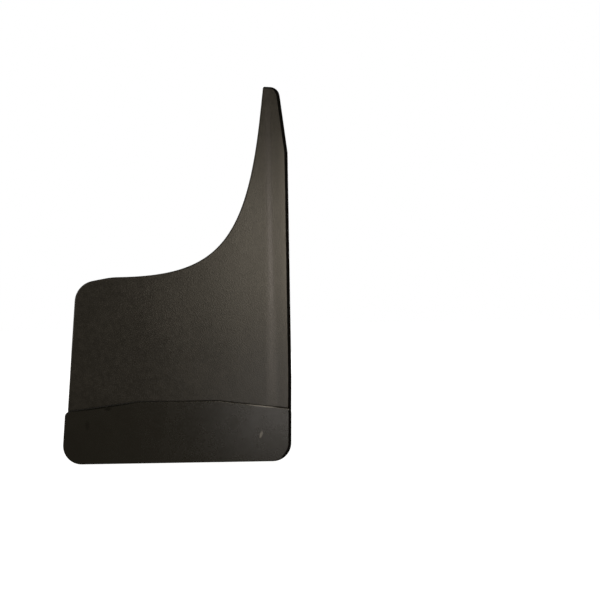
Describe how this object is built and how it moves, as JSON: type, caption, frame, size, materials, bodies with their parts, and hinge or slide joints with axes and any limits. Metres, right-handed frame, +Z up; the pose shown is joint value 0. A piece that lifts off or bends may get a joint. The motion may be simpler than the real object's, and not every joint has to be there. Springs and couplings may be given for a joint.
{
  "type": "mud flap",
  "caption": "Textured rubber mud flap with a tall fender horn, a concave sweep and a flat satin black steel weight plate across its lower edge.",
  "frame": {"origin": "on the recessed rear face of the fender strip, midway across the strip and 200 mm below the tip of the horn", "axes": "+Z up, +X outboard to the straight fender edge, -Y to the rear of the vehicle, the grained face with the weight plate"},
  "size_m": [0.3549, 0.0211, 0.58],
  "materials": {
    "rubber": "moulded pebble grain, satin",
    "plate": "satin black powder coat",
    "zinc_steel": "bright zinc plate",
    "nylon": "natural nylon"
  },
  "bodies": {
    "upper": {"flap_upper": "rubber"},
    "lower": {"flap_lower": "rubber", "weight_plate": "plate", "plate_studs": "zinc_steel", "fender_washers": "zinc_steel", "lock_nuts": "zinc_steel", "nut_inserts": "nylon"}
  },
  "joints": [
    {"name": "flap_flex", "type": "hinge", "parent": "upper", "child": "lower", "pos_m": [-0.16, 0.00275, -0.195], "axis": [1, 0, 0], "range_deg": [-45, 35], "stiffness_Nm_per_rad": 1}
  ]
}
